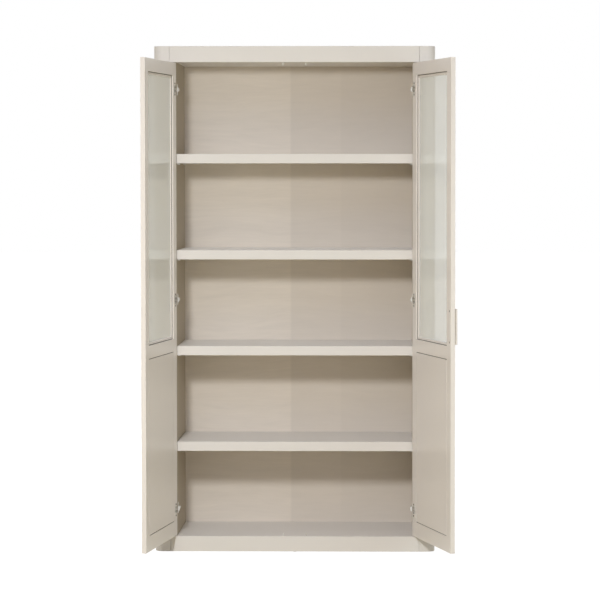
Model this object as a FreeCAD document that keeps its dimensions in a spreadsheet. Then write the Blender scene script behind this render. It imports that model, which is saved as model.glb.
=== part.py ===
import FreeCAD, Part
import Sketcher
import os
import re

# Tall cabinet with two inset doors, each with a glass upper field and a flat lower panel.
# Frame: X to the right, Y to the back, Z up. The origin is on the floor, in the middle of
# the carcass footprint. The doors stand open at rest.

# Driving sizes in millimetres, angles in degrees.
SIZES = [
    ("case_width", 1200), ("case_height", 2164), ("case_depth", 450),
    ("board_thickness", 18), ("side_width", 94),
    ("post_width", 67), ("post_depth", 60), ("post_round", 35),
    ("rail_depth", 28), ("top_height", 68), ("base_height", 67),
    ("back_thickness", 6), ("back_recess", 4),
    ("shelf_thickness", 40), ("shelf_gap", 1), ("bay_low", 364), ("bay_mid", 371.5),
    ("glide_height", 2), ("glide_radius", 8), ("nail_radius", 1.5), ("nail_length", 14),
    # Doors.
    ("door_thickness", 19), ("door_gap", 3), ("open_left", 98.7), ("open_right", 106.7),
    ("frame_face", 54), ("door_rail_high", 54), ("door_rail_mid", 53), ("door_rail_low", 64),
    ("rebate_width", 12), ("lip_thickness", 4), ("lower_field", 729),
    ("glass_thickness", 4), ("glass_gap", 2),
    ("bead_step", 1.5), ("bead_nose", 2),
    ("panel_gap", 1.5), ("panel_bevel", 1.5),
    # Hinges: the pivot lies behind the door's front face, the cup opens to the door's edge.
    ("hinge_inset", 112), ("pivot_in", 12), ("pivot_deep", 8),
    ("cup_edge", 5), ("cup_radius", 17.5), ("cup_wall", 1), ("cup_floor", 0.8), ("cup_clear", 0.4),
    ("flange_height", 60), ("flange_wing", 17), ("flange_rim", 1.5), ("flange_thickness", 1),
    ("cup_screw_rise", 24), ("cup_screw_in", 4),
    ("pin_radius", 1.25), ("pin_fit", 0.05), ("eye_radius", 2.4),
    ("arm_width", 13), ("arm_side_clear", 1), ("arm_sheet", 2.4), ("arm_knee", 1.5),
    ("arm_bar", 7), ("arm_start", 8), ("arm_length", 50), ("slot_clear", 1.5),
    ("plate_thickness", 2), ("plate_height", 48), ("plate_wing", 16), ("plate_line", 37),
    ("plate_body", 56), ("plate_margin", 1.5), ("plate_screw_rise", 16), ("arm_screw_back", 12),
    # Fixings.
    ("screw_radius", 1.75), ("screw_length", 12), ("screw_head", 3.5), ("screw_head_rise", 1.5),
    ("hole_fit", 0.05),
    ("dowel_radius", 4), ("dowel_half", 12), ("dowel_edge", 16), ("dowel_inset", 60),
    ("dowel_row", 300), ("back_screw_row", 120),
    ("frame_dowel_radius", 3), ("frame_dowel_half", 20), ("frame_dowel_edge", 13),
    ("shelf_pin_radius", 2.5), ("shelf_pin_deep", 9), ("shelf_tab_out", 11),
    ("shelf_tab_wide", 10), ("shelf_tab_rise", 6), ("shelf_pin_front", 50), ("shelf_pin_back", 60),
    ("stop_spread", 49), ("stop_radius", 2.5), ("stop_drop", 12), ("stop_clear", 0.4),
    ("stop_shank", 1.5), ("stop_root", 12),
    # Pull handle of the right door.
    ("handle_length", 146), ("handle_face", 17), ("handle_reach", 13.5), ("handle_taper", 2.5),
    ("handle_taper_reach", 5), ("handle_low", 854), ("handle_edge", 18),
    ("handle_screws", 128), ("handle_screw_radius", 2), ("handle_screw_head", 4),
    ("handle_screw_head_rise", 2), ("handle_screw_bite", 8), ("handle_round", 2),
]

# Values that follow from the driving sizes.
DERIVED = {
    "front": "-case_depth / 2",
    "inner_from": "side_width - board_thickness",
    "carcass_back": "case_depth - back_recess - back_thickness",
    "clear_width": "case_width - 2 * side_width",
    "ceiling": "case_height - top_height",
    "board_under": "case_height - board_thickness",
    "door_from": "post_width + door_gap",
    "door_width": "(case_width - 2 * post_width - 3 * door_gap) / 2",
    "door_low": "base_height + door_gap",
    "door_height": "ceiling - base_height - 2 * door_gap",
    "field_width": "door_width - 2 * frame_face",
    "inner_layer": "door_thickness - lip_thickness",
    "panel_low": "door_low + door_rail_low",
    "panel_high": "panel_low + lower_field",
    "light_low": "panel_high + door_rail_mid",
    "light_high": "door_low + door_height - door_rail_high",
    "light_height": "light_high - light_low",
    "glass_back": "lip_thickness + glass_thickness",
    "bead_depth": "door_thickness - glass_back - bead_step",
    "cup_centre": "cup_edge + cup_radius",
    "cup_deep": "pivot_deep - eye_radius - cup_clear - cup_floor",
    "cup_inner": "cup_radius - cup_wall",
    "pin_reach": "cup_centre - pivot_in",
    "pin_far": "pin_reach + pin_radius + hole_fit",
    "cup_outer": "cup_radius - hole_fit",
    "pin_half": "sqrt(cup_outer * cup_outer - pin_far * pin_far) - hole_fit",
    "slot_floor": "pivot_deep - slot_clear",
    "slot_half": "arm_width / 2 + arm_side_clear",
    "wall_out": "side_width - door_from - pivot_in",
    "wall_back": "rail_depth - pivot_deep",
    "plate_face": "wall_out + plate_thickness",
    "arm_turn": "wall_back + arm_knee",
    "bar_from": "wall_back + arm_start",
    "bar_to": "bar_from + arm_length",
}
KNOWN = {alias for alias, value in SIZES}
HANDS = ("left", "right")
HINGES = range(3)
SHELVES = range(4)
BACK_SCREWS = range(6)
TINY = 1e-6

doc = FreeCAD.newDocument("glass_door_cabinet")
sheet = doc.addObject("Spreadsheet::Sheet", "sizes")
for row, (alias, value) in enumerate(SIZES, start=1):
    sheet.set("A%d" % row, alias)
    sheet.set("B%d" % row, str(value))
    sheet.setAlias("B%d" % row, alias)
doc.recompute()


def expand(text):
    """Write an expression of plain names as one of sheet cells."""
    def swap(match):
        word = match.group(0)
        if word in DERIVED:
            return "(" + expand(DERIVED[word]) + ")"
        if word in KNOWN:
            return "sizes." + word
        return word
    return re.sub(r"[a-z][a-z_]*", swap, text)


def bind(item, **values):
    for prop, text in values.items():
        item.setExpression(prop, expand(text))
    return item


def place(item, x, y, z):
    """Put an item's own origin at X, at a depth behind the front plane, and at Z."""
    item.setExpression("Placement.Base.x", expand(x))
    item.setExpression("Placement.Base.y", expand("front + (%s)" % y))
    item.setExpression("Placement.Base.z", expand(z))
    return item


def across(hand, inset, width="0"):
    """X of the low side of something that lies inset from its own side of the case."""
    if hand == "left":
        return "-case_width / 2 + (%s)" % inset
    return "case_width / 2 - (%s) - (%s)" % (inset, width)


def box(name, x, y, z, width, depth, height):
    block = doc.addObject("Part::Box", name)
    bind(block, Length=width, Width=depth, Height=height)
    return place(block, x, y, z)


TURNS = {"x": ((0, 1, 0), 90), "y": ((1, 0, 0), -90), "z": ((0, 0, 1), 0)}


def rod(name, axis, x, y, z, radius, length):
    """A cylinder that starts at the point given and runs along +X, +Y or +Z."""
    bar = doc.addObject("Part::Cylinder", name)
    turn_axis, turn = TURNS[axis]
    bar.Placement = FreeCAD.Placement(FreeCAD.Vector(), FreeCAD.Rotation(FreeCAD.Vector(*turn_axis), turn))
    bind(bar, Radius=radius, Height=length)
    return place(bar, x, y, z)


def fuse(name, pieces):
    joined = doc.addObject("Part::MultiFuse", name)
    joined.Shapes = pieces
    joined.Refine = True
    return joined


def cut(name, base, tools):
    tool = tools[0]
    if len(tools) > 1:
        tool = fuse(name + "_tools", tools)
    left = doc.addObject("Part::Cut", name)
    left.Base = base
    left.Tool = tool
    return left


def group(name, pieces):
    loose = doc.addObject("Part::Compound", name)
    loose.Links = pieces
    return loose


def outline(body, points):
    """A closed sketch of straight lines on the body's XY plane, one expression pair per corner."""
    sketch = body.newObject("Sketcher::SketchObject", body.Name + "_outline")
    plane = [item for item in body.Origin.OriginFeatures if item.Role == "XY_Plane"][0]
    sketch.AttachmentSupport = [(plane, "")]
    sketch.MapMode = "FlatFace"
    rough = [FreeCAD.Vector(10 + spot, 10 + spot * spot, 0) for spot in range(len(points))]
    for spot in range(len(points)):
        sketch.addGeometry(Part.LineSegment(rough[spot], rough[(spot + 1) % len(points)]), False)
    for spot in range(len(points)):
        sketch.addConstraint(Sketcher.Constraint("Coincident", spot, 2, (spot + 1) % len(points), 1))
    for spot, (x, y) in enumerate(points):
        for kind, text, start, axis in (("DistanceX", x, rough[spot].x, -2), ("DistanceY", y, rough[spot].y, -1)):
            if text == "0":
                sketch.addConstraint(Sketcher.Constraint("PointOnObject", spot, 1, axis))
            else:
                number = sketch.addConstraint(Sketcher.Constraint(kind, -1, 1, spot, 1, start))
                sketch.setExpression("Constraints[%d]" % number, expand(text))
    return sketch


def pad(name, points, height):
    """A body raised straight up from an outline on its own XY plane."""
    body = doc.addObject("PartDesign::Body", name)
    raised = body.newObject("PartDesign::Pad", name + "_pad")
    raised.Profile = outline(body, points)
    bind(raised, Length=height)
    body.Tip = raised
    return body


def ease(body, kind, chosen, **values):
    """A fillet or chamfer on the edges whose box, beside the whole shape's box, is chosen."""
    doc.recompute()
    feature = body.Tip
    names = []
    for number, edge in enumerate(feature.Shape.Edges, start=1):
        if chosen(edge.BoundBox, feature.Shape.BoundBox):
            names.append("Edge%d" % number)
    eased = body.newObject(kind, body.Name + "_eased")
    eased.Base = (feature, names)
    bind(eased, **values)
    body.Tip = eased
    return body


# Pieces by node name, and the tools that cut holes in them.
blanks = {}
tools = {}
door_of = {}


def drill(nodes, tool):
    for node in nodes:
        tools.setdefault(node, []).append(tool)


def pin(name, nodes, axis, x, y, z, radius, length):
    """A round fastener, with its hole in each node that it enters."""
    hole = rod(name + "_hole", axis, x, y, z, "%s + hole_fit" % radius, length)
    drill(nodes, hole)
    return rod(name, axis, x, y, z, radius, length)


def mirrored(hand, points, width):
    """An outline's corners, counted from its other side on the right hand."""
    if hand == "left":
        return points
    return [("0" if x == width else "%s - (%s)" % (width, x), y) for x, y in points]


def finish(node):
    """Cut a node's holes, swing a door's piece open, and give the result the node's name."""
    whole = blanks[node]
    if node in tools:
        whole = cut(node, whole, tools[node])
    if node in door_of:
        if node not in tools:
            whole = group(node, [whole])
        hand = door_of[node]
        turn = "-open_left" if hand == "left" else "open_right"
        x = across(hand, "door_from + pivot_in")
        y = "front + pivot_deep"
        whole.Placement = FreeCAD.Placement(FreeCAD.Vector(), FreeCAD.Rotation(FreeCAD.Vector(0, 0, 1), 1))
        swing = {"x": x, "y": y, "t": turn}
        whole.setExpression("Placement.Rotation.Angle", expand(turn))
        whole.setExpression("Placement.Base.x", expand("(%(x)s) - (%(x)s) * cos(%(t)s) + (%(y)s) * sin(%(t)s)" % swing))
        whole.setExpression("Placement.Base.y", expand("(%(y)s) - (%(x)s) * sin(%(t)s) - (%(y)s) * cos(%(t)s)" % swing))
    whole.Label = node
    return whole


# ---------------------------------------------------------------- case
above_glide = "case_height - glide_height"
under_board = "board_under - glide_height"
for hand in HANDS:
    post = pad("corner_post_%s_blank" % hand, mirrored(hand, [
        ("0", "0"), ("post_width", "0"), ("post_width", "rail_depth"),
        ("inner_from", "rail_depth"), ("inner_from", "post_depth"), ("0", "post_depth"),
    ], "inner_from"), above_glide)
    outer_x = "XMin" if hand == "left" else "XMax"
    ease(post, "PartDesign::Fillet", lambda edge, whole: (
        edge.ZLength > TINY and edge.XLength < TINY and edge.YMax < whole.YMin + TINY
        and abs(getattr(edge, outer_x) - getattr(whole, outer_x)) < TINY), Radius="post_round")
    blanks["corner_post_" + hand] = place(post, across(hand, "0", "inner_from"), "0", "glide_height")
    blanks["side_panel_outer_" + hand] = box(
        "side_panel_outer_%s_blank" % hand, across(hand, "0", "board_thickness"), "post_depth",
        "glide_height", "board_thickness", "case_depth - post_depth", above_glide)
    blanks["side_panel_inner_" + hand] = box(
        "side_panel_inner_%s_blank" % hand, across(hand, "inner_from", "board_thickness"), "rail_depth",
        "glide_height", "board_thickness", "carcass_back - rail_depth", under_board)
    blanks["rear_stile_" + hand] = box(
        "rear_stile_%s_blank" % hand, across(hand, "board_thickness", "inner_from - board_thickness"),
        "carcass_back - board_thickness", "glide_height", "inner_from - board_thickness",
        "board_thickness", under_board)

board = box("top_board_blank", "-case_width / 2 + board_thickness", "rail_depth", "board_under",
            "case_width - 2 * board_thickness", "case_depth - rail_depth", "board_thickness")
blanks["top_board"] = board
for hand in HANDS:
    drill(["top_board"], box("top_board_notch_" + hand, across(hand, "0", "inner_from"), "0",
                             "board_under", "inner_from", "post_depth", "board_thickness"))
blanks["top_rail"] = box("top_rail_blank", "-case_width / 2 + post_width", "0", "ceiling",
                         "case_width - 2 * post_width", "rail_depth", "top_height")
blanks["bottom_rail"] = box("bottom_rail_blank", "-case_width / 2 + post_width", "0", "glide_height",
                            "case_width - 2 * post_width", "rail_depth", "base_height - glide_height")
for node, low, high, start, depth in (
        ("ceiling_panel", "ceiling", "ceiling + board_thickness", "rail_depth", "carcass_back - rail_depth"),
        ("bottom_panel", "base_height - board_thickness", "base_height", "rail_depth",
         "carcass_back - rail_depth"),
        ("top_rear_rail", "ceiling + board_thickness", "board_under", "carcass_back - board_thickness",
         "board_thickness"),
        ("base_rear_rail", "glide_height", "base_height - board_thickness",
         "carcass_back - board_thickness", "board_thickness")):
    blanks[node] = box(node + "_blank", "-case_width / 2 + side_width", start, low,
                       "clear_width", depth, "(%s) - (%s)" % (high, low))
blanks["base_bearer"] = box("base_bearer_blank", "0 - board_thickness / 2", "rail_depth", "glide_height",
                            "board_thickness", "carcass_back - board_thickness - rail_depth",
                            "base_height - board_thickness - glide_height")
blanks["back_panel"] = box("back_panel_blank", "-case_width / 2 + board_thickness", "carcass_back",
                           "glide_height", "case_width - 2 * board_thickness", "back_thickness",
                           under_board)

# ---------------------------------------------------------------- shelves and their supports
supports = []
for level in SHELVES:
    underside = "base_height + bay_low + %d * (shelf_thickness + bay_mid)" % level
    node = "shelf_%d" % (level + 1)
    blanks[node] = box(node + "_blank", "-case_width / 2 + side_width + shelf_gap", "rail_depth",
                       underside, "clear_width - 2 * shelf_gap",
                       "carcass_back - rail_depth - shelf_gap", "shelf_thickness")
    for hand in HANDS:
        for row, depth in enumerate(("rail_depth + shelf_pin_front", "carcass_back - shelf_pin_back")):
            name = "support_%d_%s_%d" % (level, hand, row)
            peg = pin(name + "_peg", ["side_panel_inner_" + hand], "x",
                      across(hand, "side_width - shelf_pin_deep", "shelf_pin_deep"), depth,
                      underside + " - shelf_tab_rise / 2", "shelf_pin_radius", "shelf_pin_deep")
            tab = box(name + "_tab", across(hand, "side_width", "shelf_tab_out"),
                      depth + " - shelf_tab_wide / 2", underside + " - shelf_tab_rise",
                      "shelf_tab_out", "shelf_tab_wide", "shelf_tab_rise")
            supports.append(fuse(name, [peg, tab]))
blanks["shelf_supports"] = group("shelf_supports_blank", supports)

# ---------------------------------------------------------------- glides under the case
glides = []
spots = [("0", "rail_depth / 2", "bottom_rail"), ("0", "case_depth / 2", "base_bearer"),
         ("0", "carcass_back - board_thickness / 2", "base_rear_rail")]
for hand in HANDS:
    spots.append((across(hand, "post_width / 2"), "post_depth / 2", "corner_post_" + hand))
    spots.append((across(hand, "(board_thickness + inner_from) / 2"), "carcass_back - board_thickness / 2",
                  "rear_stile_" + hand))
for number, (x, y, node) in enumerate(spots):
    name = "glide_%d" % number
    disc = rod(name + "_disc", "z", x, y, "0", "glide_radius", "glide_height")
    nail = pin(name + "_nail", [node], "z", x, y, "glide_height", "nail_radius", "nail_length")
    glides.append(fuse(name, [disc, nail]))
blanks["floor_glides"] = group("floor_glides_blank", glides)

# ---------------------------------------------------------------- dowels of the case
dowels = []


def dowel(nodes, axis, x, y, z):
    """A dowel centred on the joint face between two nodes."""
    middle = {"x": x, "y": y, "z": z}
    middle[axis] = "%s - dowel_half" % middle[axis]
    dowels.append(pin("dowel_%d" % len(dowels), nodes, axis, middle["x"], middle["y"], middle["z"],
                      "dowel_radius", "2 * dowel_half"))


for hand in HANDS:
    post = "corner_post_" + hand
    inner = "side_panel_inner_" + hand
    outer = "side_panel_outer_" + hand
    for rail, low, high in (("top_rail", "ceiling", "case_height"),
                            ("bottom_rail", "glide_height", "base_height")):
        for z in (low + " + dowel_edge", high + " - dowel_edge"):
            dowel([rail, post], "x", across(hand, "post_width"), "rail_depth / 2", z)
    for panel, z in (("ceiling_panel", "ceiling + board_thickness / 2"),
                     ("bottom_panel", "base_height - board_thickness / 2")):
        for y in ("rail_depth + dowel_inset", "carcass_back - dowel_inset"):
            dowel([panel, inner], "x", across(hand, "side_width"), y, z)
    for rail, low, high in (("top_rear_rail", "ceiling + board_thickness", "board_under"),
                            ("base_rear_rail", "glide_height", "base_height - board_thickness")):
        dowel([rail, inner], "x", across(hand, "side_width"), "carcass_back - board_thickness / 2",
              "(%s + %s) / 2" % (low, high))
    for z in ("dowel_row", "case_height / 2", "case_height - dowel_row"):
        dowel([post, inner], "x", across(hand, "inner_from"), "(rail_depth + post_depth) / 2", z)
        dowel([post, outer], "y", across(hand, "board_thickness / 2"), "post_depth", z)
    for y in ("post_depth + dowel_inset", "carcass_back - dowel_inset"):
        dowel(["top_board", inner], "z", across(hand, "side_width - board_thickness / 2"), y, "board_under")
for rail, y in (("bottom_rail", "rail_depth"), ("base_rear_rail", "carcass_back - board_thickness")):
    dowel([rail, "base_bearer"], "y", "0", y, "(glide_height + base_height - board_thickness) / 2")
blanks["case_dowels"] = group("case_dowels_blank", dowels)

# ---------------------------------------------------------------- screws of the back panel
back_screws = []


def back_screw(node, x, z):
    name = "back_screw_%d" % len(back_screws)
    shank = pin(name + "_shank", ["back_panel", node], "y", x,
                "carcass_back + back_thickness - screw_length", z, "screw_radius", "screw_length")
    head = rod(name + "_head", "y", x, "carcass_back + back_thickness", z, "screw_head", "screw_head_rise")
    back_screws.append(fuse(name, [shank, head]))


side_screw_pitch = "(ceiling - base_height - 2 * back_screw_row) / %d" % (len(BACK_SCREWS) - 1)
for hand in HANDS:
    edge = across(hand, "side_width - board_thickness / 2")
    for number in BACK_SCREWS:
        back_screw("side_panel_inner_" + hand, edge,
                   "base_height + back_screw_row + %d * %s" % (number, side_screw_pitch))
for node, z in (("ceiling_panel", "ceiling + board_thickness / 2"),
                ("bottom_panel", "base_height - board_thickness / 2")):
    for step in (-1, 0, 1):
        back_screw(node, "%d * clear_width / 3" % step, z)
blanks["back_screws"] = group("back_screws_blank", back_screws)

# ---------------------------------------------------------------- door stops in the two front rails
stop_y = "door_thickness + stop_clear + stop_radius"
for node, rail, stem, root in (
        ("stop_pins_top", "top_rail", "ceiling - stop_drop", "ceiling"),
        ("stop_pins_bottom", "bottom_rail", "base_height", "base_height - stop_root")):
    stops = []
    for number, x in enumerate(("-stop_spread", "stop_spread")):
        name = "%s_%d" % (node, number)
        shank = pin(name + "_shank", [rail], "z", x, stop_y, root, "stop_shank", "stop_root")
        stem_rod = rod(name + "_stem", "z", x, stop_y, stem, "stop_radius", "stop_drop")
        stops.append(fuse(name, [shank, stem_rod]))
    blanks[node] = group(node + "_blank", stops)

# ---------------------------------------------------------------- hinges, half on the case
case_screws = []
hinge_pitch = "(door_height - 2 * hinge_inset) / 2"
arm_reach = "arm_sheet / 2 + plate_face"
arm_whole = "arm_sheet / 2 + plate_face + arm_bar"
for hand in HANDS:
    inner = "side_panel_inner_" + hand
    arms = []
    plates = []
    for number in HINGES:
        z = "(door_low + hinge_inset + %d * %s)" % (number, hinge_pitch)
        name = "arm_%s_%d" % (hand, number)
        web = pad(name + "_web", mirrored(hand, [
            ("0", "0"), ("arm_sheet", "0"), (arm_reach + " + arm_sheet", "arm_turn"),
            (arm_reach + " + arm_sheet", "bar_from"), (arm_whole, "bar_from"), (arm_whole, "bar_to"),
            (arm_reach, "bar_to"), (arm_reach, "arm_turn"),
        ], arm_whole), "arm_width")
        place(web, across(hand, "door_from + pivot_in - arm_sheet / 2", arm_whole), "pivot_deep",
              z + " - arm_width / 2")
        pivot = across(hand, "door_from + pivot_in")
        eye = rod(name + "_eye", "z", pivot, "pivot_deep", z + " - arm_width / 2", "eye_radius", "arm_width")
        bore = rod(name + "_bore", "z", pivot, "pivot_deep", z + " - arm_width / 2",
                   "pin_radius + pin_fit", "arm_width")
        solid = cut(name + "_bored", fuse(name + "_whole", [web, eye]), [bore])

        name = "plate_%s_%d" % (hand, number)
        wing = box(name + "_wing", across(hand, "side_width", "plate_thickness"),
                   "rail_depth + plate_line - plate_wing / 2", z + " - plate_height / 2",
                   "plate_thickness", "plate_wing", "plate_height")
        spine = box(name + "_spine", across(hand, "side_width", "plate_thickness"),
                    "rail_depth + arm_start", z + " - arm_width / 2 - plate_margin",
                    "plate_thickness", "plate_body", "arm_width + 2 * plate_margin")
        plate_holes = []
        for step, side in enumerate(("-", "+")):
            screw = "plate_screw_%s_%d_%d" % (hand, number, step)
            screw_z = "%s %s plate_screw_rise" % (z, side)
            screw_y = "rail_depth + plate_line"
            from_x = "side_width + plate_thickness - screw_length"
            hole = rod(screw + "_hole", "x", across(hand, from_x, "screw_length"), screw_y, screw_z,
                       "screw_radius + hole_fit", "screw_length")
            drill([inner], hole)
            plate_holes.append(hole)
            shank = rod(screw + "_shank", "x", across(hand, from_x, "screw_length"), screw_y, screw_z,
                        "screw_radius", "screw_length")
            head = rod(screw + "_head", "x", across(hand, "side_width + plate_thickness", "screw_head_rise"),
                       screw_y, screw_z, "screw_head", "screw_head_rise")
            case_screws.append(fuse(screw, [shank, head]))
        screw = "arm_screw_%s_%d" % (hand, number)
        screw_y = "pivot_deep + bar_to - arm_screw_back"
        through = "plate_thickness + arm_bar"
        hole = rod(screw + "_hole", "x", across(hand, "side_width", through), screw_y, z,
                   "screw_radius + hole_fit", through)
        shank = rod(screw + "_shank", "x", across(hand, "side_width", through), screw_y, z,
                    "screw_radius", through)
        head = rod(screw + "_head", "x", across(hand, "side_width + " + through, "screw_head_rise"),
                   screw_y, z, "screw_head", "screw_head_rise")
        case_screws.append(fuse(screw, [shank, head]))
        arms.append(cut("arm_%s_%d" % (hand, number), solid, [hole]))
        plates.append(cut(name, fuse(name + "_whole", [wing, spine]), plate_holes + [hole]))
    blanks["hinge_arms_" + hand] = group("hinge_arms_%s_blank" % hand, arms)
    blanks["hinge_plates_" + hand] = group("hinge_plates_%s_blank" % hand, plates)
blanks["hinge_screws"] = group("hinge_screws_blank", case_screws)

# ---------------------------------------------------------------- doors, drawn shut
for hand in HANDS:
    door = "door_%s_" % hand

    def leaf(node, whole):
        blanks[door + node] = whole
        door_of[door + node] = hand

    def slab(name, u, v, z, width, depth, height):
        """A box placed from the door's hinge edge, its front face and the floor."""
        return box(door + name, across(hand, "door_from + " + u, width), v, z, width, depth, height)

    wide = "frame_face + rebate_width"
    for node, u_lip, u_inner in (
            ("hinge_stile", "0", "0"),
            ("lock_stile", "door_width - frame_face - rebate_width", "door_width - frame_face")):
        leaf(node, fuse(door + node + "_blank", [
            slab(node + "_lip", u_lip, "0", "door_low", wide, "lip_thickness", "door_height"),
            slab(node + "_inner", u_inner, "lip_thickness", "door_low", "frame_face", "inner_layer",
                 "door_height")]))
    for node, low, high, lip_low, lip_high in (
            ("top_rail", "light_high", "door_low + door_height", "rebate_width", "0"),
            ("mid_rail", "panel_high", "light_low", "rebate_width", "rebate_width"),
            ("bottom_rail", "door_low", "panel_low", "0", "rebate_width")):
        tall = "(%s) - (%s)" % (high, low)
        leaf(node, fuse(door + node + "_blank", [
            slab(node + "_lip", wide, "0", "%s - %s" % (low, lip_low), "field_width - 2 * rebate_width",
                 "lip_thickness", "%s + %s + %s" % (tall, lip_low, lip_high)),
            slab(node + "_inner", "frame_face", "lip_thickness", low, "field_width", "inner_layer",
                 tall)]))
    leaf("glass", slab("glass_blank", "frame_face + glass_gap", "lip_thickness", "light_low + glass_gap",
                       "field_width - 2 * glass_gap", "glass_thickness", "light_height - 2 * glass_gap"))

    panel_width = "field_width - 2 * panel_gap"
    panel = pad(door + "lower_panel_blank", [
        ("0", "0"), (panel_width, "0"), (panel_width, "inner_layer"), ("0", "inner_layer"),
    ], "lower_field - 2 * panel_gap")
    ease(panel, "PartDesign::Chamfer", lambda edge, whole: edge.YMin > whole.YMax - TINY,
         Size="panel_bevel")
    place(panel, across(hand, "door_from + frame_face + panel_gap", panel_width), "lip_thickness",
          "panel_low + panel_gap")
    leaf("lower_panel", panel)

    # Four mitred strips hold the glass: each is widest at the frame and slopes to the glass.
    low_x = across(hand, "door_from + frame_face", "field_width")
    high_x = low_x + " + field_width"
    strips = []
    for number, (along, inward, x, z, length) in enumerate((
            ((1, 0, 0), (0, 0, -1), low_x, "light_high", "field_width"),
            ((-1, 0, 0), (0, 0, 1), high_x, "light_low", "field_width"),
            ((0, 0, 1), (1, 0, 0), low_x, "light_low", "light_height"),
            ((0, 0, -1), (-1, 0, 0), high_x, "light_high", "light_height"))):
        strip = doc.addObject("Part::Wedge", "%sbead_%d" % (door, number))
        turn = FreeCAD.Rotation(FreeCAD.Vector(*along), FreeCAD.Vector(*inward), FreeCAD.Vector(0, 1, 0), "ZXY")
        strip.Placement = FreeCAD.Placement(FreeCAD.Vector(), turn)
        bind(strip, Xmin="0", Ymin="0", Zmin="0", Z2min="0", Xmax=length, Ymax="rebate_width",
             Zmax="bead_depth", X2min="rebate_width", X2max=length + " - rebate_width",
             Z2max="bead_nose")
        strips.append(place(strip, x, "glass_back", z))
    leaf("glass_beads", group(door + "glass_beads_blank", strips))

    cups = []
    pins = []
    screws = []
    for number in HINGES:
        z = "(door_low + hinge_inset + %d * %s)" % (number, hinge_pitch)
        cup_x = across(hand, "door_from + cup_centre")
        name = "%scup_%d" % (door, number)
        past = "flange_thickness + door_thickness"
        slot = slab("slot_%d" % number, "0 - cup_edge", "slot_floor", z + " - slot_half",
                    "cup_edge + cup_centre", past + " - slot_floor", "2 * slot_half")
        drill([door + "hinge_stile"], slot)
        drill([door + "hinge_stile"], rod(name + "_mortise", "y", cup_x, "cup_deep", z, "cup_radius",
                                          "door_thickness - cup_deep"))
        shell = rod(name + "_shell", "y", cup_x, "cup_deep", z, "cup_outer",
                    past + " - cup_deep")
        rim = rod(name + "_rim", "y", cup_x, "door_thickness", z, "cup_radius + flange_rim",
                  "flange_thickness")
        wing = slab("wing_%d" % number, "cup_centre - flange_wing / 2", "door_thickness",
                    z + " - flange_height / 2", "flange_wing", "flange_thickness", "flange_height")
        cavity = rod(name + "_cavity", "y", cup_x, "cup_deep + cup_floor", z, "cup_inner",
                     past + " - cup_deep - cup_floor")
        pin_x = across(hand, "door_from + pivot_in")
        pin_hole = rod(name + "_pin_hole", "z", pin_x, "pivot_deep", z + " - pin_half",
                       "pin_radius + hole_fit", "2 * pin_half")
        pins.append(rod(name + "_pin", "z", pin_x, "pivot_deep", z + " - pin_half", "pin_radius",
                        "2 * pin_half"))
        openings = [cavity, slot, pin_hole]
        for step, side in enumerate(("-", "+")):
            screw = "%s_screw_%d" % (name, step)
            screw_x = across(hand, "door_from + cup_centre + cup_screw_in")
            screw_z = "%s %s cup_screw_rise" % (z, side)
            hole = rod(screw + "_hole", "y", screw_x, past + " - screw_length", screw_z,
                       "screw_radius + hole_fit", "screw_length")
            drill([door + "hinge_stile"], hole)
            openings.append(hole)
            shank = rod(screw + "_shank", "y", screw_x, past + " - screw_length", screw_z,
                        "screw_radius", "screw_length")
            head = rod(screw + "_head", "y", screw_x, past, screw_z, "screw_head", "screw_head_rise")
            screws.append(fuse(screw, [shank, head]))
        cups.append(cut(name, fuse(name + "_whole", [shell, rim, wing]), openings))
    leaf("hinge_cups", group(door + "hinge_cups_blank", cups))
    leaf("hinge_pins", group(door + "hinge_pins_blank", pins))
    leaf("cup_screws", group(door + "cup_screws_blank", screws))

    pegs = []
    for stile, u in (("hinge_stile", "frame_face"), ("lock_stile", "frame_face + field_width")):
        for rail, low, high in (("top_rail", "light_high", "door_low + door_height"),
                                ("mid_rail", "panel_high", "light_low"),
                                ("bottom_rail", "door_low", "panel_low")):
            for z in (low + " + frame_dowel_edge", high + " - frame_dowel_edge"):
                pegs.append(pin("%speg_%d" % (door, len(pegs)), [door + stile, door + rail], "x",
                                across(hand, "door_from + %s - frame_dowel_half" % u,
                                       "2 * frame_dowel_half"),
                                "lip_thickness + inner_layer / 2", z, "frame_dowel_radius",
                                "2 * frame_dowel_half"))
    leaf("frame_dowels", group(door + "frame_dowels_blank", pegs))

# ---------------------------------------------------------------- pull handle, on the right door
handle_z = "door_low + handle_low"
handle_x = across("right", "door_from + door_width - handle_edge")
handle = pad("handle_blank", [
    ("0", "0"), ("handle_face", "0"), ("handle_face", "handle_reach - handle_taper_reach"),
    ("handle_face - handle_taper", "handle_reach"), ("handle_taper", "handle_reach"),
    ("0", "handle_reach - handle_taper_reach"),
], "handle_length")
ease(handle, "PartDesign::Fillet", lambda edge, whole: (
    edge.ZLength > TINY and edge.YMax < whole.YMin + TINY), Radius="handle_round")
blanks["door_handle"] = place(handle, handle_x + " - handle_face / 2", "-handle_reach", handle_z)
door_of["door_handle"] = "right"
stile = "door_right_lock_stile"
handle_fixings = []
for step, side in enumerate(("-", "+")):
    name = "handle_screw_%d" % step
    z = "%s + handle_length / 2 %s handle_screws / 2" % (handle_z, side)
    shank = pin(name + "_shank", [stile, "door_handle"], "y", handle_x, "-handle_screw_bite", z,
                "handle_screw_radius",
                "handle_screw_bite + door_thickness - handle_screw_head_rise")
    head = pin(name + "_head", [stile], "y", handle_x, "door_thickness - handle_screw_head_rise", z,
               "handle_screw_head", "handle_screw_head_rise")
    handle_fixings.append(fuse(name, [shank, head]))
blanks["handle_screws"] = group("handle_screws_blank", handle_fixings)
door_of["handle_screws"] = "right"

finished = {node: finish(node) for node in blanks}
doc.recompute()

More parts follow.
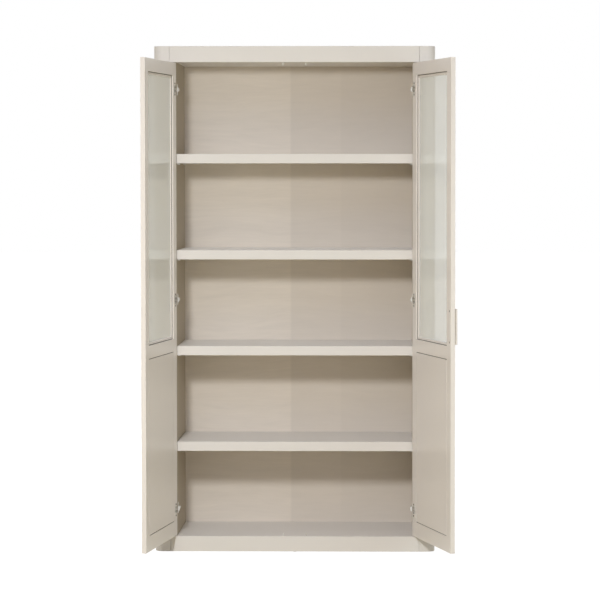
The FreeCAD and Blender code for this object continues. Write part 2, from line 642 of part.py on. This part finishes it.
for item in doc.Objects:
    if "Invalid" in item.State or "Error" in item.State:
        raise RuntimeError("%s did not build: %s" % (item.Name, item.State))
for node, whole in finished.items():
    if whole.Shape.isNull() or not whole.Shape.isValid():
        raise RuntimeError("%s has no valid shape" % node)

os.makedirs("parts", exist_ok=True)
for node, whole in finished.items():
    whole.Shape.exportStep("parts/%s.step" % node)
    print(node, len(whole.Shape.Solids), round(whole.Shape.Volume))
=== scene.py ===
import math

import bmesh
import bpy
from mathutils import Matrix, Vector


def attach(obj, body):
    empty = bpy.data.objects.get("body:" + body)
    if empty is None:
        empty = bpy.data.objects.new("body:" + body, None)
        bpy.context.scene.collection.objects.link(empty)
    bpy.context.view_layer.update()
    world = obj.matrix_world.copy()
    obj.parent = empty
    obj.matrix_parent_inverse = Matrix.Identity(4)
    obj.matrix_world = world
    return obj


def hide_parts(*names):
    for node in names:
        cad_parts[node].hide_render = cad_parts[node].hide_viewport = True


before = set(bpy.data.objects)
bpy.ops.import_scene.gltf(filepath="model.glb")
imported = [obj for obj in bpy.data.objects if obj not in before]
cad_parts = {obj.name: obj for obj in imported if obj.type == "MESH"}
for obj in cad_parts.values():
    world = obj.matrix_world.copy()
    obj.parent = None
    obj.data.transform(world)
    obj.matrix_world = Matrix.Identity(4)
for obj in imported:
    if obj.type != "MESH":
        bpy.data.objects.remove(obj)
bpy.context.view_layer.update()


# ---------------------------------------------------------------- nodes as plain sums
class Wire:
    """An output of a node. Arithmetic on it adds the Math nodes."""

    def __init__(self, finish, socket):
        self.finish = finish
        self.socket = socket

    def reckon(self, operation, first, second):
        """A Math node on two values or wires."""
        return self.finish.add("ShaderNodeMath", {"operation": operation}, {0: first, 1: second})

    def __add__(self, other):
        return self.reckon("ADD", self, other)

    def __radd__(self, other):
        return self.reckon("ADD", other, self)

    def __rsub__(self, other):
        return self.reckon("SUBTRACT", other, self)

    def __mul__(self, other):
        return self.reckon("MULTIPLY", self, other)

    def __rmul__(self, other):
        return self.reckon("MULTIPLY", other, self)

    def __pow__(self, other):
        return self.reckon("POWER", self, other)

    def above(self, level, soft):
        """0 below the level and 1 above it, over a soft width."""
        return self.finish.add("ShaderNodeMapRange", {"interpolation_type": "SMOOTHSTEP"},
                               {0: self, 1: level - soft / 2, 2: level + soft / 2})


class Finish:
    """A node tree, and the one way to add nodes to it."""

    def __init__(self, tree):
        self.tree = tree
        self.tree.nodes.clear()

    def add(self, kind, settings=None, values=None, output=0):
        """A node with its settings and its inputs, each a value or a wire."""
        node = self.tree.nodes.new(kind)
        for name, value in (settings or {}).items():
            setattr(node, name, value)
        for socket, value in (values or {}).items():
            if isinstance(value, Wire):
                self.tree.links.new(value.socket, node.inputs[socket])
            else:
                node.inputs[socket].default_value = value
        return Wire(self, node.outputs[output]) if node.outputs else None

    def mix(self, factor, first, second):
        """A colour between two colours."""
        return self.add("ShaderNodeMix", {"data_type": "RGBA"}, {0: factor, 6: first, 7: second}, 2)

    def noise(self, where, scale, detail, stretch=(1, 1, 1)):
        """Noise at a place, drawn out along the axes whose stretch is small."""
        spot = self.add("ShaderNodeVectorMath", {"operation": "MULTIPLY"}, {0: where, 1: stretch})
        return self.add("ShaderNodeTexNoise", None, {"Vector": spot, "Scale": scale, "Detail": detail})

    def bump(self, height, strength, distance):
        return self.add("ShaderNodeBump", None, {"Strength": strength, "Distance": distance, "Height": height})


def srgb(red, green, blue):
    """A paint-chart colour, 0 to 255, as the linear colour of a node."""
    def linear(part):
        part /= 255
        return part / 12.92 if part <= 0.04045 else ((part + 0.055) / 1.055) ** 2.4
    return (linear(red), linear(green), linear(blue), 1.0)


def shade(colour, amount):
    """A lighter or darker tone of a colour."""
    return tuple(part * amount for part in colour[:3]) + (1.0,)


def surface(name):
    """A new material, and its empty node tree."""
    material = bpy.data.materials.new(name)
    material.use_nodes = True
    return material, Finish(material.node_tree)


def close(finish, shader):
    """Ends a material with its shader."""
    finish.add("ShaderNodeOutputMaterial", None, {"Surface": shader})


# ---------------------------------------------------------------- finishes
GREIGE = srgb(225, 219, 214)
BACK_GREIGE = srgb(229, 219, 208)
# a darker copy of the paint for the inner side walls: painted shade for the shade that falls on them
SHADED_INSIDE_GREIGE = srgb(182, 170, 152)
# a lighter copy of the case paint for the doors: painted light for the extra light on their open inner faces
LIGHTENED_DOOR_GREIGE = srgb(231, 223, 217)
GRAIN_RUN = {"upright": (1, 1, 0.03), "across": (0.03, 1, 1), "deep": (1, 0.03, 1)}
OPEN = {"left": 98.7, "right": 106.7}
OBJECT_OUTPUT, FACING_OUTPUT = 3, 1


def local(finish, turn):
    """Places on the piece, in metres, with the door's width turned onto X."""
    where = finish.add("ShaderNodeTexCoord", None, None, OBJECT_OUTPUT)
    if not turn:
        return where
    return finish.add("ShaderNodeVectorRotate", {"rotation_type": "Z_AXIS"}, {"Vector": where, "Angle": turn})


def satin_paint(name, run, turn=0.0, colour=None, rough=0.38, shine=0.5, bloom=0.22):
    """Sprayed satin paint on a fine wood ground, its grain running along the piece."""
    colour = colour or GREIGE
    material, finish = surface(name)
    where = local(finish, turn)
    grain = finish.noise(where, 420, 3, GRAIN_RUN[run])
    cloud = finish.noise(where, 4, 2)
    peel = finish.noise(where, 260, 1)
    close(finish, finish.add("ShaderNodeBsdfPrincipled", None, {
        "Base Color": finish.mix(0.55 * cloud + 0.45 * grain, shade(colour, 0.975), shade(colour, 1.02)),
        "Roughness": rough + 0.06 * grain + 0.05 * cloud,
        "IOR": 1.5,
        "Specular IOR Level": shine,
        "Sheen Weight": bloom,
        "Sheen Roughness": 0.45,
        "Normal": finish.bump(0.7 * grain + 0.3 * peel, 0.12, 0.0004),
    }))
    return material


def back_board(name):
    """Painted veneer with a faint figure across the board; its inner face is darkened towards the right in three soft
    steps, which is painted shade.
    """
    material, finish = surface(name)
    where = local(finish, 0)
    wander = finish.noise(where, 2.2, 2, (0.5, 1, 1))
    across, deep, height = (finish.add("ShaderNodeSeparateXYZ", None, {0: where}, axis) for axis in range(3))
    figure = finish.noise(finish.add("ShaderNodeCombineXYZ", None, {
        0: across * 0.9, 1: wander * 0.2, 2: height * 9.0 + wander * 2.5}), 3.0, 3)
    streak = finish.noise(finish.add("ShaderNodeCombineXYZ", None, {
        0: across * 3.2, 1: wander, 2: height * 30.0 + wander * 6.0}), 3.0, 2)
    grain = finish.noise(where, 420, 3, GRAIN_RUN["across"])
    first_shade_edge, second_shade_edge, soft, mid_board = -0.034, 0.189, 0.012, 0.218
    # painted shade: the inner face steps darker towards the right, the middle step darkest at its left edge
    painted_shade_steps = across.above(first_shade_edge, soft) * (0.66 - 0.14 * across.above(0.0, 0.09))
    painted_shade_steps = painted_shade_steps + across.above(second_shade_edge, soft) * 0.20
    body = finish.mix(0.5 * figure + 0.35 * streak + 0.15 * grain, shade(BACK_GREIGE, 0.86), shade(BACK_GREIGE, 1.12))
    front_only = 0.75 - 0.75 * deep.above(mid_board, 0.0004)
    colour = finish.mix(painted_shade_steps * front_only, body, shade(BACK_GREIGE, 0.82))
    close(finish, finish.add("ShaderNodeBsdfPrincipled", None, {
        "Base Color": colour,
        "Roughness": 0.42 + 0.10 * grain,
        "IOR": 1.5,
        "Normal": finish.bump(0.7 * grain + 0.3 * figure, 0.15, 0.0005),
    }))
    return material


def bare_beech(name):
    """Unpainted beech for the dowels."""
    material, finish = surface(name)
    where = local(finish, 0)
    grain = finish.noise(where, 300, 3)
    close(finish, finish.add("ShaderNodeBsdfPrincipled", None, {
        "Base Color": finish.mix(grain, srgb(196, 160, 118), srgb(222, 190, 148)),
        "Roughness": 0.6 + 0.1 * grain,
        "Normal": finish.bump(grain, 0.3, 0.0003),
    }))
    return material


def nickel(name):
    """Pressed steel with a satin nickel plating."""
    material, finish = surface(name)
    where = local(finish, 0)
    brush = finish.noise(where, 1800, 2, (1, 1, 0.12))
    smear = finish.noise(where, 60, 2)
    close(finish, finish.add("ShaderNodeBsdfPrincipled", None, {
        "Base Color": finish.mix(smear, srgb(217, 214, 208), srgb(231, 229, 224)),
        "Metallic": 0.8,
        "Roughness": 0.24 + 0.14 * brush + 0.06 * smear,
        "Normal": finish.bump(brush, 0.08, 0.0001),
    }))
    return material


def browned_steel(name):
    """Small screws with a dark, oiled finish."""
    material, finish = surface(name)
    smear = finish.noise(local(finish, 0), 900, 2)
    close(finish, finish.add("ShaderNodeBsdfPrincipled", None, {
        "Base Color": finish.mix(smear, srgb(62, 52, 44), srgb(84, 72, 62)),
        "Metallic": 0.35,
        "Roughness": 0.42 + 0.12 * smear,
        "Normal": finish.bump(smear, 0.1, 0.0001),
    }))
    return material


def moulded_plastic(name, colour):
    """Matt moulded plastic with a fine spark texture."""
    material, finish = surface(name)
    spark = finish.noise(local(finish, 0), 2600, 2)
    close(finish, finish.add("ShaderNodeBsdfPrincipled", None, {
        "Base Color": finish.mix(spark, shade(colour, 0.96), colour),
        "Roughness": 0.5 + 0.12 * spark,
        "Normal": finish.bump(spark, 0.2, 0.0001),
    }))
    return material


def plated_plastic(name):
    """Plastic stop pins with a bright plating."""
    material, finish = surface(name)
    smear = finish.noise(local(finish, 0), 400, 2)
    close(finish, finish.add("ShaderNodeBsdfPrincipled", None, {
        "Base Color": finish.mix(smear, srgb(240, 238, 232), srgb(250, 249, 245)),
        "Metallic": 0.9,
        "Roughness": 0.16 + 0.08 * smear,
    }))
    return material


def pane_glass(name):
    """Clear float glass with a trace of dust. At a slant it mirrors more and the dust shows more."""
    material, finish = surface(name)
    slant = finish.add("ShaderNodeLayerWeight", None, {"Blend": 0.5}, FACING_OUTPUT)
    mirror = 0.04 + 0.96 * slant ** 5
    clear = finish.add("ShaderNodeBsdfTransparent", None, {"Color": (0.945, 0.955, 0.95, 1)})
    dust = finish.add("ShaderNodeBsdfDiffuse", None, {"Color": (0.98, 0.975, 0.955, 1)})
    through = finish.add("ShaderNodeMixShader", None, {0: 0.008 + 2.6 * slant ** 5, 1: clear, 2: dust})
    gloss = finish.add("ShaderNodeBsdfAnisotropic", None, {"Color": (0.97, 0.99, 0.98, 1), "Roughness": 0.02})
    close(finish, finish.add("ShaderNodeMixShader", None, {0: mirror, 1: through, 2: gloss}))
    return material


# the doors' coat uses the lighter copy of the paint, painted light
DOOR_COAT = (LIGHTENED_DOOR_GREIGE, 0.26, 0.5, 0.35)
paint = {
    ("case", "upright"): satin_paint("paint_upright", "upright"),
    ("case", "across"): satin_paint("paint_across", "across"),
    ("case", "deep"): satin_paint("paint_deep", "deep"),
    # the inner side walls take the darker copy of the paint, painted shade
    ("inside", "upright"): satin_paint("paint_inside_shaded", "upright", 0.0, SHADED_INSIDE_GREIGE, 0.62, 0.12, 0.0),
    ("door", "upright"): satin_paint("paint_door_upright", "upright", 0.0, *DOOR_COAT),
    ("door_left", "across"): satin_paint(
        "paint_left_door_across", "across", math.radians(OPEN["left"]), *DOOR_COAT),
    ("door_right", "across"): satin_paint(
        "paint_right_door_across", "across", math.radians(-OPEN["right"]), *DOOR_COAT),
}
veneer = back_board("painted_veneer")
beech = bare_beech("bare_beech")
plating = nickel("satin_nickel")
glide_plastic = moulded_plastic("glide_plastic", srgb(226, 223, 216))
stop_plastic = plated_plastic("plated_plastic")
browned = browned_steel("browned_steel")
# a dark strip for the gaps round the glass and the panels, painted shade for the shadow in those gaps
gap_shade_strip = moulded_plastic("gap_shade_strip", srgb(98, 88, 76))
glass = pane_glass("clear_pane")

ACROSS = ("top_rail", "bottom_rail", "shelf_1", "shelf_2", "shelf_3", "shelf_4", "ceiling_panel",
          "bottom_panel", "top_board", "top_rear_rail", "base_rear_rail")


def finish_of(node):
    """The finish of a piece, by its name."""
    for words, material in ((("dowels",), beech), (("screws", "hinge", "supports"), plating),
                            (("stop_pins",), stop_plastic), (("glides",), glide_plastic)):
        if any(word in node for word in words) and not node.endswith("stile"):
            return material
    if node.endswith("_glass"):
        return glass
    if node == "back_panel":
        return veneer
    if node == "base_bearer":
        return paint["case", "deep"]
    if node in ACROSS:
        return paint["case", "across"]
    for body in ("door_left", "door_right"):
        if node.startswith(body) and node.endswith("_rail"):
            return paint[body, "across"]
    if node.startswith("side_panel_inner"):
        return paint["inside", "upright"]
    return paint["door" if node.startswith("door") else "case", "upright"]


for node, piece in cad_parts.items():
    material = finish_of(node)
    for held in piece.material_slots:
        held.material = material

# ---------------------------------------------------------------- eased edges of the wooden pieces
MM = 0.001
EASED = {"case": 1.1, "door": 0.45}
SHARP_EDGE, FLAT_ENOUGH = math.radians(40), math.radians(0.4)


def ease(piece, radius, steps=2, clamp=False):
    """Rounds the sharp edges of a piece by a radius in mm."""
    weld = piece.modifiers.new("weld", "WELD")
    weld.merge_threshold = 0.01 * MM
    flat = piece.modifiers.new("flats", "DECIMATE")
    flat.decimate_type, flat.angle_limit = "DISSOLVE", FLAT_ENOUGH
    edge = piece.modifiers.new("eased_edges", "BEVEL")
    edge.width, edge.segments = radius * MM, steps
    edge.limit_method, edge.angle_limit = "ANGLE", SHARP_EDGE
    edge.use_clamp_overlap = clamp
    even = piece.modifiers.new("even_shading", "WEIGHTED_NORMAL")
    even.weight, even.keep_sharp = 100, True


WOODEN = ("corner_post", "side_panel", "rear_stile", "top_board", "ceiling_panel", "bottom_panel", "shelf_1",
          "shelf_2", "shelf_3", "shelf_4", "door_left_", "door_right_")
PLAIN_ENDS = ("dowels", "glass", "beads", "cups", "pins", "screws", "lower_panel")
for node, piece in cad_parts.items():
    if node.startswith(WOODEN) and not node.endswith(PLAIN_ENDS):
        ease(piece, EASED["door" if node.startswith("door") else "case"], clamp=node.startswith("side_panel_inner"))
ease(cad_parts["door_handle"], 0.8, 3)
for hand in ("left", "right"):
    ease(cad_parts["hinge_plates_" + hand], 0.3)

# ---------------------------------------------------------------- pieces drawn in millimetres
# for each door: its hinge axis, how far it is turned out of the case, and the way from its side to the middle
DOORS = {"left": ((-518, -217), -OPEN["left"], 1), "right": ((518, -217), OPEN["right"], -1)}
HINGE_HEIGHTS = (182, 1081.5, 1981)
HALF_WIDTH, HALF_DEPTH, HALF_DOORWAY = 600, 225, 530


def door_place(hand, across, deep, height):
    """A place on the open door, from its hinge edge, its outer face and the floor."""
    (x, y), turn, side = DOORS[hand]
    shut = Vector((side * (across - HALF_DOORWAY), deep - HALF_DEPTH, height))
    axis = Vector((x, y, 0))
    return axis + Matrix.Rotation(math.radians(turn), 3, "Z") @ (shut - axis)


def case_place(hand, across, deep, height):
    """A place on the case, from its side, its front and the floor."""
    return Vector((DOORS[hand][2] * (across - HALF_WIDTH), deep - HALF_DEPTH, height))


class Blank:
    """Faces gathered for one piece, in millimetres. coat is the place of their finish on the piece."""

    def __init__(self):
        self.mesh = bmesh.new()
        self.coat = 0

    def loops(self, rows, smooth=False, ends=True):
        """Joins rows of points, each closed on itself. Without filled ends, the last row joins the first."""
        knots = [[self.mesh.verts.new(point * MM) for point in row] for row in rows]
        pairs = list(zip(knots, knots[1:]))
        if not ends:
            pairs.append((knots[-1], knots[0]))
        for low, high in pairs:
            for step in range(len(low)):
                after = (step + 1) % len(low)
                face = self.mesh.faces.new((low[step], low[after], high[after], high[step]))
                face.smooth, face.material_index = smooth, self.coat
        if ends:
            for row in (knots[0][::-1], knots[-1]):
                self.mesh.faces.new(row).material_index = self.coat

    def piece(self, name, material, slot, body, *nodes):
        """Turns the faces into a piece that stands in for its nodes."""
        bmesh.ops.recalc_face_normals(self.mesh, faces=self.mesh.faces)
        mesh = bpy.data.meshes.new(name)
        self.mesh.to_mesh(mesh)
        self.mesh.free()
        mesh.materials.append(material)
        made = bpy.data.objects.new(name, mesh)
        bpy.context.collection.objects.link(made)
        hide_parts(*nodes)
        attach(made, body)
        return made


FRAME_FACE, DOOR_WIDTH = 54, 528.5
# left, low, right and high of the glazed opening and of the panel's field, from the hinge edge and the floor
LIGHT = (FRAME_FACE, 916, DOOR_WIDTH - FRAME_FACE, 2039)
FIELD = (FRAME_FACE, 134, DOOR_WIDTH - FRAME_FACE, 863)
RAIL_END, RAIL_BACK = 533, -197


def front_rail(name, low, high):
    """A front rail, let back at its ends where it meets the rounded posts, so that the joints show as lines."""
    blank = Blank()
    front, let_back = -HALF_DEPTH, -HALF_DEPTH + 5
    left, right = -RAIL_END + 1.7, RAIL_END - 0.9
    outline = ((left, front), (right, front), (right, let_back), (RAIL_END, let_back),
               (RAIL_END, RAIL_BACK), (-RAIL_END, RAIL_BACK), (-RAIL_END, let_back), (left, let_back))
    blank.loops([[Vector((x, y, z)) for x, y in outline] for z in (low, high)])
    made = blank.piece(name + "_board", paint["case", "across"], "painted_wood", "case", name)
    ease(made, 0.7)


def bead_strips(hand):
    """Four mitred strips that lie on the glass, below the frame's face, with a dark strip sunk between them and the
    frame as painted shade for the gap.
    """
    blank = Blank()
    gap, wide, glass_top, thick, mitre, proud = 2.6, 9.2, 8, 4, 0.12, 1.3
    top, crest, slack = glass_top + thick, glass_top + thick + proud, 0.1
    strip = ((gap, glass_top), (gap, top - 0.6), (gap + 0.6, top), (gap + wide - 1.2, top),
             (gap + wide - 0.4, top - 0.8), (gap + wide, top - 2.2), (gap + wide, glass_top))
    # painted shade: a dark strip sunk between the beads and the frame, where the gap is in shadow
    shade_strip = ((slack, glass_top), (slack, crest - 0.3), (0.6, crest),
            (gap - 0.6, crest), (gap - slack, crest - 0.3), (gap - slack, glass_top))
    left, low, right, high = LIGHT
    for coat, section in enumerate((strip, shade_strip)):
        blank.coat = coat
        for start, end, along, inward in (
                ((left, low), (right, low), (1, 0), (0, 1)), ((right, high), (left, high), (-1, 0), (0, -1)),
                ((right, low), (right, high), (0, 1), (-1, 0)), ((left, high), (left, low), (0, -1), (1, 0))):
            rows = []
            for corner, sign in ((start, 1), (end, -1)):
                rows.append([door_place(hand, corner[0] + inward[0] * off + sign * along[0] * (off + mitre), deep,
                                        corner[1] + inward[1] * off + sign * along[1] * (off + mitre))
                             for off, deep in section])
            blank.loops(rows)
    made = blank.piece("glass_bead_strips_" + hand, paint["door", "upright"], "painted_wood",
                       "door_" + hand, "door_%s_glass_beads" % hand)
    made.data.materials.append(gap_shade_strip)


def field_ring(hand, inset, deep):
    """The corners of the panel's field, drawn in by an inset, at a depth from the door's outer face."""
    left, low, right, high = FIELD
    return [door_place(hand, x, deep, z) for x, z in (
        (left + inset, low + inset), (right - inset, low + inset),
        (right - inset, high - inset), (left + inset, high - inset))]


def lower_panel(hand):
    """A flat panel with eased edges, and a dark strip sunk in the narrow gap between it and the frame, painted shade
    for the gap.
    """
    blank = Blank()
    gap, back, face, sunk, slack = 3.3, 4, 19, 3, 0.1
    panel = ((gap, back), (gap, face - 0.7), (gap + 0.2, face - 0.2), (gap + 0.7, face))
    blank.loops([field_ring(hand, inset, deep) for inset, deep in panel])
    blank.coat = 1
    # painted shade: a dark strip sunk in the gap round the panel, where the gap is in shadow
    shade_strip = ((slack, back), (slack, face - sunk), (gap - slack, face - sunk), (gap - slack, back))
    blank.loops([field_ring(hand, inset, deep) for inset, deep in shade_strip], ends=False)
    made = blank.piece("flat_panel_" + hand, paint["door", "upright"], "painted_wood",
                       "door_" + hand, "door_%s_lower_panel" % hand)
    made.data.materials.append(gap_shade_strip)


# radius and rise of the head, radius and length of the shank
WOOD_SCREW = (3.5, 1.5, 1.75, 12)
PLATE_SCREW = (3.5, 1.5, 1.75, 9)
SET_SCREW = (2.6, 0.6, 2, 1)
HANDLE_SCREW = (4, 1.9, 2, 25)
HEAD_CROWN = ((0.9, 0.88), (0.78, 1), (0.66, 1), (0.56, 1), (0.38, 1), (0.2, 1), (0.06, 1))


def screw(blank, head, out, radius, rise, shank, length):
    """A screw with a cross recess. head is the middle of its seat, out the way its head faces."""
    out = out.normalized()
    side = out.orthogonal().normalized()
    other = out.cross(side)
    steps, slot_half, slot_reach, slot_deep = 32, 0.17 * radius, 0.6 * radius, 1.0

    def row(reach, height):
        points = []
        for step in range(steps):
            turn = 2 * math.pi * step / steps
            right, up = reach * math.cos(turn), reach * math.sin(turn)
            in_cross = min(abs(right), abs(up)) < slot_half and max(abs(right), abs(up)) < slot_reach
            deep = slot_deep if in_cross and height >= 0.9 * rise else 0.0
            points.append(head + side * right + other * up + out * (height - deep))
        return points
    blank.loops([row(shank, -length), row(shank, 0), row(radius, 0), row(radius, 0.5 * rise)]
                + [row(share * radius, level * rise) for share, level in HEAD_CROWN])


def case_screws():
    """The screws of the hinge plates and of the back."""
    plate, back = Blank(), Blank()
    rearward, back_face = Vector((0, 1, 0)), 221
    for hand, (_, _, side) in DOORS.items():
        inward = Vector((side, 0, 0))
        for height in HINGE_HEIGHTS:
            for rise in (-16, 16):
                screw(plate, case_place(hand, 96, 65, height + rise), inward, *WOOD_SCREW)
            screw(plate, case_place(hand, 103, 74, height), inward, *PLATE_SCREW)
        for step in range(6):
            screw(back, case_place(hand, 85, back_face + HALF_DEPTH, 187 + 357.8 * step), rearward, *WOOD_SCREW)
    for height in (58, 2105):
        for step in (-1, 0, 1):
            screw(back, Vector((step * 1012 / 3, back_face, height)), rearward, *WOOD_SCREW)
    plate.piece("hinge_screw_set", plating, "steel", "case", "hinge_screws")
    back.piece("back_screw_set", plating, "steel", "case", "back_screws")


def door_screws(hand):
    """The screws of the hinge cups, and those of the handle."""
    blank = Blank()
    out = door_place(hand, 0, 1, 0) - door_place(hand, 0, 0, 0)
    for height in HINGE_HEIGHTS:
        for rise in (-24, 24):
            screw(blank, door_place(hand, 26.5, 20, height + rise), out, *WOOD_SCREW)
    blank.piece("cup_screw_set_" + hand, browned, "steel", "door_" + hand, "door_%s_cup_screws" % hand)
    if hand == "right":
        blank = Blank()
        for height in (933, 1061):
            screw(blank, door_place(hand, DOOR_WIDTH - 18, 17, height), out, *HANDLE_SCREW)
        blank.piece("handle_screw_set", browned, "steel", "door_right", "handle_screws")


def hinge_arms(hand):
    """Pressed arms: a neck that slants from the pin to the wall, and a cover that flares at its front."""
    blank = Blank()
    neck = ((83.2, 8), (80.8, 8), (80.9, 9.4), (95, 28.2), (96, 29.9), (96, 36), (98.4, 36), (98.4, 29.2),
            (97.5, 27.5), (83.2, 8.6))
    cover = ((36, -10), (36, 10), (39.6, 10), (42.5, 6.6), (83, 6.5), (86, 3.5), (86, -3.5), (83, -6.5),
             (42.5, -6.6), (39.6, -10))
    pin_across, pin_deep, eye_steps = 82, 8, 24
    for height in HINGE_HEIGHTS:
        blank.loops([[case_place(hand, x, y, height + z) for x, y in neck] for z in (-5.8, 5.8)])
        blank.loops([[case_place(hand, x, y, height + z * shrink) for y, z in cover]
                     for x, shrink in ((96, 1), (101.8, 1), (103, 0.86))])
        eye = []
        for z, reach in ((-6.3, 2.0), (-5.9, 2.4), (5.9, 2.4), (6.3, 2.0)):
            turns = [step * math.pi / (eye_steps / 2) for step in range(eye_steps)]
            eye.append([case_place(hand, pin_across + reach * math.cos(turn),
                                   pin_deep + reach * math.sin(turn), height + z) for turn in turns])
        blank.loops(eye, smooth=True)
        screw(blank, case_place(hand, 102.6, 52, height), Vector((DOORS[hand][2], 0, 0)), *SET_SCREW)
    made = blank.piece("hinge_arm_set_" + hand, plating, "steel", "case", "hinge_arms_" + hand)
    edge = made.modifiers.new("pressed_edges", "BEVEL")
    edge.width, edge.segments = 0.35 * MM, 2
    edge.limit_method, edge.angle_limit = "ANGLE", math.radians(50)


# each with the height of its lower and its upper face
front_rail("top_rail", 2096, 2164)
front_rail("bottom_rail", 2, 67)
case_screws()
for hand in DOORS:
    bead_strips(hand)
    lower_panel(hand)
    door_screws(hand)
    hinge_arms(hand)

# ---------------------------------------------------------------- floor, light and camera
CAMERA_RAY, GLOSSY_RAY, TRANSMISSION_RAY = 0, 3, 6


def seen(finish):
    """1 for what the eye sees straight, or in metal or through glass."""
    straight, mirrored, through = (finish.add("ShaderNodeLightPath", None, None, ray)
                                   for ray in (CAMERA_RAY, GLOSSY_RAY, TRANSMISSION_RAY))
    plain = straight + mirrored
    return plain.reckon("MAXIMUM", plain, through).above(0.5, 0.2)


floor_mesh = bpy.data.meshes.new("floor")
FLOOR_REACH = 40
floor_mesh.from_pydata([(x * FLOOR_REACH, y * FLOOR_REACH, 0) for x, y in ((-1, -1), (1, -1), (1, 1), (-1, 1))],
                       [], [(0, 1, 2, 3)])
floor = bpy.data.objects.new("floor", floor_mesh)
bpy.context.collection.objects.link(floor)
material, finish = surface("pale_floor")
lit = finish.add("ShaderNodeBsdfDiffuse", None, {"Color": (0.56, 0.485, 0.28, 1)})
shadow = finish.add("ShaderNodeBsdfDiffuse", None, {"Color": (0.3, 0.3, 0.3, 1)})
glow = finish.add("ShaderNodeEmission", None, {"Color": (1, 1, 1, 1), "Strength": 0.93})
close(finish, finish.add("ShaderNodeMixShader", None, {
    0: seen(finish), 1: lit, 2: finish.add("ShaderNodeAddShader", None, {0: shadow, 1: glow})}))
floor_mesh.materials.append(material)

world = bpy.data.worlds.new("studio")
bpy.context.scene.world = world
world.use_nodes = True
finish = Finish(world.node_tree)
room = finish.add("ShaderNodeBackground", None, {"Color": (1, 0.935, 0.91, 1), "Strength": 0.315})
white = finish.add("ShaderNodeBackground", None, {"Color": (1, 1, 1, 1), "Strength": 1.0})
finish.add("ShaderNodeOutputWorld", None, {
    "Surface": finish.add("ShaderNodeMixShader", None, {0: seen(finish), 1: room, 2: white})})


def softbox(name, place, aim, wide, tall, power, colour=(1, 1, 1)):
    """A lamp with a flat, oblong face that doesn't show as a bright patch in metal or glass."""
    lamp = bpy.data.lights.new(name, "AREA")
    lamp.shape = "RECTANGLE"
    lamp.size, lamp.size_y, lamp.energy = wide, tall, power
    lamp.color = colour
    box = bpy.data.objects.new(name, lamp)
    box.location = place
    box.rotation_euler = (Vector(aim) - Vector(place)).to_track_quat("-Z", "Y").to_euler()
    box.visible_glossy = False
    bpy.context.collection.objects.link(box)


MIDDLE = (0, 0, 1.0)
SKY, REAR_SKY = (0.8, 0.98, 1.18), (0.9, 0.98, 1.08)
softbox("key_softbox", (-0.72, -4.35, 2.33), (-0.3, -1.7, -2.0), 0.34, 0.46, 110, (0.98, 1.0, 1.01))
softbox("high_softbox", (-0.9, -6.0, 5.2), MIDDLE, 2.4, 2.4, 54, SKY)
softbox("top_softbox", (-0.8, -2.6, 4.8), (0, -0.3, 1.0), 3, 2.5, 11, (1.12, 0.97, 0.86))
softbox("right_softbox", (3.6, -3.2, 1.3), MIDDLE, 2.4, 2.4, 31, (0.86, 1.0, 1.02))
softbox("crown_softbox", (0, 2.0, 4.8), (0, 0.1, 1.8), 2.0, 2.0, 34)
softbox("rear_left_softbox", (-3.0, 3.8, 2.2), MIDDLE, 2.2, 2.2, 76, REAR_SKY)
softbox("rear_right_softbox", (3.0, 3.8, 2.2), MIDDLE, 2.2, 2.2, 76, REAR_SKY)

DOWNWARD, LEFTWARD = math.radians(2.229), math.radians(0.79)
lens = bpy.data.cameras.new("camera")
lens.sensor_width = 36
lens.lens = 144.79
lens.shift_x, lens.shift_y = -0.10, -0.05
camera = bpy.data.objects.new("camera", lens)
camera.location = (0.422, -10.517, 1.611)
camera.rotation_euler = (math.pi / 2 - DOWNWARD, 0, LEFTWARD)
bpy.context.collection.objects.link(camera)
bpy.context.scene.camera = camera
bpy.context.scene.view_settings.view_transform = "Standard"
